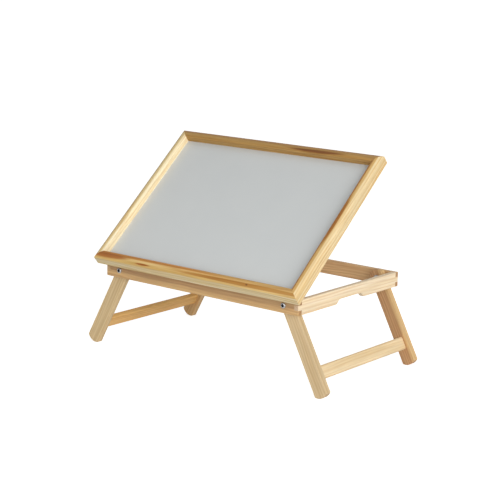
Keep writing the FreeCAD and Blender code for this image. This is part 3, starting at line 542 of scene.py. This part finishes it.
screws = screw_group()
make_fasteners("turned_pivot_bolts", "pivot_bolts", "base", bolt_group(), BOLT_SIZES, nickel,
               lambda place: Y if place.y > 0 else -Y)
make_fasteners("cross_lower_leaf_screws", "lower_leaf_screws", "base", screws, SCREW_SIZES, zinc,
               lambda place: Z)
make_fasteners("cross_upper_leaf_screws", "upper_leaf_screws", "top", screws, SCREW_SIZES, zinc,
               lambda place: -TOP_NORMAL)
make_fasteners("cross_block_screws", "block_screws", "top", screws, SCREW_SIZES, zinc,
               lambda place: -TOP_NORMAL)


# ---- floor, light and camera ----
FLOOR_REACH = 30.0
FLOOR_DROP = 0.5 * MM
FLOOR_COLOUR = "EDEDED"
FLOOR_GLOW = 0.745  # brings the lit floor to white where the camera or a reflection sees it
SHADE_STRENGTH = 0.30
LIGHT_TARGET = (0.0, 0.0, 0.22)


def white_when_seen(tree, seen_strength, other_strength):
    """Strength that differs for what the camera or a reflection sees and for the light on the table."""
    seen = [add_node(tree, "ShaderNodeLightPath", None, None, name)
            for name in ("Is Camera Ray", "Is Glossy Ray", "Is Transmission Ray")]
    share = add_node(tree, "ShaderNodeMath", {"operation": "ADD"}, {0: seen[0], 1: seen[1]})
    share = add_node(tree, "ShaderNodeMath", {"operation": "ADD", "use_clamp": True}, {0: share, 1: seen[2]})
    return add_node(tree, "ShaderNodeMapRange", None, {0: share, 3: other_strength, 4: seen_strength})


def make_floor():
    """Pale floor that keeps the table's shadow and reads as white."""
    mesh = bpy.data.meshes.new("studio_floor")
    corners = [(x * FLOOR_REACH, y * FLOOR_REACH, -FLOOR_DROP) for x, y in ((-1, -1), (1, -1), (1, 1), (-1, 1))]
    mesh.from_pydata(corners, [], [(0, 1, 2, 3)])
    floor = bpy.data.objects.new("studio_floor", mesh)
    bpy.context.scene.collection.objects.link(floor)
    material, tree = new_material("white_paper_sweep")
    finish_material(
        tree, base_color=hex_colour(FLOOR_COLOUR), roughness=0.9, emission_color=(1.0, 1.0, 1.0, 1.0),
        emission_strength=white_when_seen(tree, FLOOR_GLOW, 0.0))
    mesh.materials.append(material)


def make_world():
    """Studio that is white where it is seen, and a weak even light for the table."""
    world = bpy.data.worlds.new("studio")
    world.use_nodes = True
    tree = world.node_tree
    tree.nodes.clear()
    strength = white_when_seen(tree, 1.0, SHADE_STRENGTH)
    background = add_node(tree, "ShaderNodeBackground", None, {"Color": (1.0, 1.0, 1.0, 1.0), "Strength": strength})
    add_node(tree, "ShaderNodeOutputWorld", None, {"Surface": background})
    bpy.context.scene.world = world


def softbox(name, place, target, width, height, power):
    """Rectangular lamp that looks from its place to its target."""
    light = bpy.data.lights.new(name, "AREA")
    light.shape = "RECTANGLE"
    light.size = width
    light.size_y = height
    light.energy = power
    lamp = bpy.data.objects.new(name, light)
    lamp.location = place
    lamp.rotation_euler = (Vector(target) - Vector(place)).to_track_quat("-Z", "Y").to_euler()
    bpy.context.scene.collection.objects.link(lamp)


def make_camera():
    """Camera with the place, turn and lens that the photograph was solved for."""
    forward = Vector((-math.sin(CAMERA_YAW) * math.cos(CAMERA_PITCH), math.cos(CAMERA_YAW) * math.cos(CAMERA_PITCH),
                      -math.sin(CAMERA_PITCH)))
    level = Vector((math.cos(CAMERA_YAW), math.sin(CAMERA_YAW), 0.0))
    upright = level.cross(forward)
    right = level * math.cos(CAMERA_ROLL) + upright * math.sin(CAMERA_ROLL)
    up = upright * math.cos(CAMERA_ROLL) - level * math.sin(CAMERA_ROLL)
    lens = bpy.data.cameras.new("photo_camera")
    lens.sensor_width = SENSOR_WIDTH
    lens.lens = SENSOR_WIDTH * FOCAL_PIXELS / PHOTO_WIDTH
    camera = bpy.data.objects.new("photo_camera", lens)
    camera.matrix_world = Matrix.Translation(CAMERA_PLACE) @ Matrix((right, up, -forward)).transposed().to_4x4()
    bpy.context.scene.collection.objects.link(camera)
    bpy.context.scene.camera = camera


make_floor()
make_world()
softbox("key_right", (5.5, -2.8, 2.25), LIGHT_TARGET, 4.8, 3.6, 288.0)
softbox("front_fill", (0.1, -1.2, 0.4), LIGHT_TARGET, 0.8, 0.5, 2.6)
softbox("top_soft", (0.0, -0.2, 2.6), (0.0, 0.0, 0.2), 1.8, 1.8, 4.0)
make_camera()
bpy.context.scene.view_settings.view_transform = "Standard"
